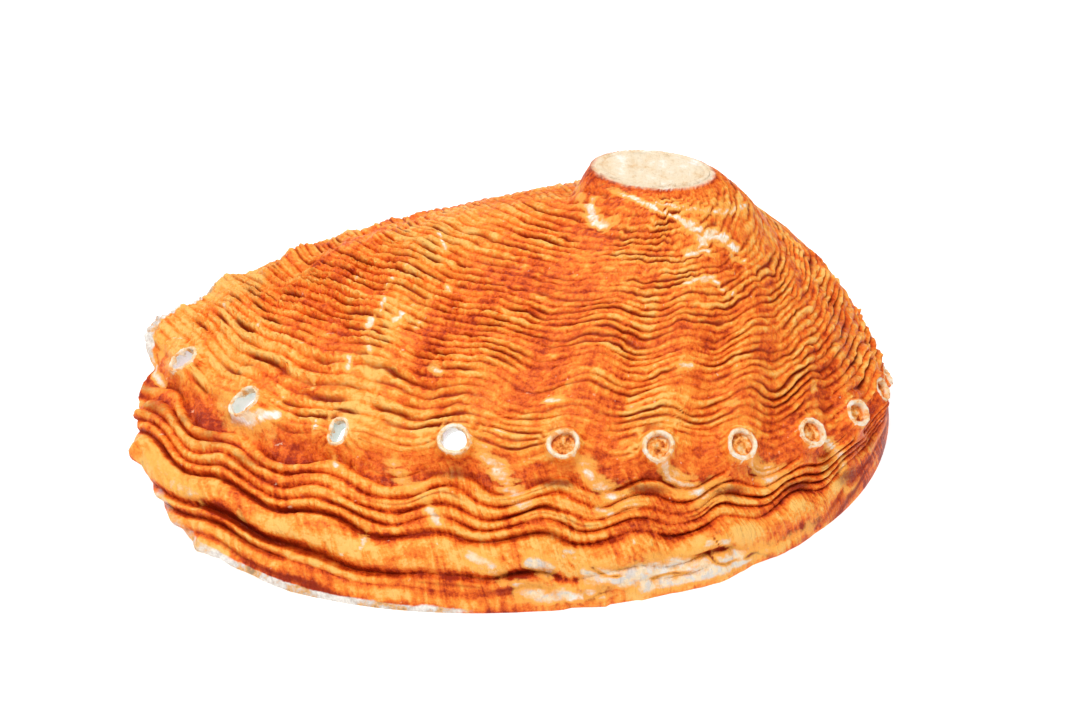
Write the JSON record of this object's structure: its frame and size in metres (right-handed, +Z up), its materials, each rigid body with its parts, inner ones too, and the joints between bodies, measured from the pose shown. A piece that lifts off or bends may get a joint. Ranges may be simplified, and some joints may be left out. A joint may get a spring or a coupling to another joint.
{
  "type": "abalone shell",
  "caption": "Domed, ear-shaped sea shell with a row of raised breathing holes, a worn flat spire and an open pearly hollow underneath.",
  "frame": {"origin": "centre of the bottom of the shell's box, on the plane that the margin rests on, mouth down", "axes": "+X towards the back end, where the spire is; -X towards the growing front end; -Y towards the side with the holes; +Z up"},
  "size_m": [0.1116, 0.0756, 0.0343],
  "materials": {
    "shell": "Ribbed, beaded orange shell with red-brown grooves, cream flecks and a chalky cream spire; pearly inside."
  },
  "bodies": {
    "root": {"shell": "shell"}
  },
  "joints": []
}
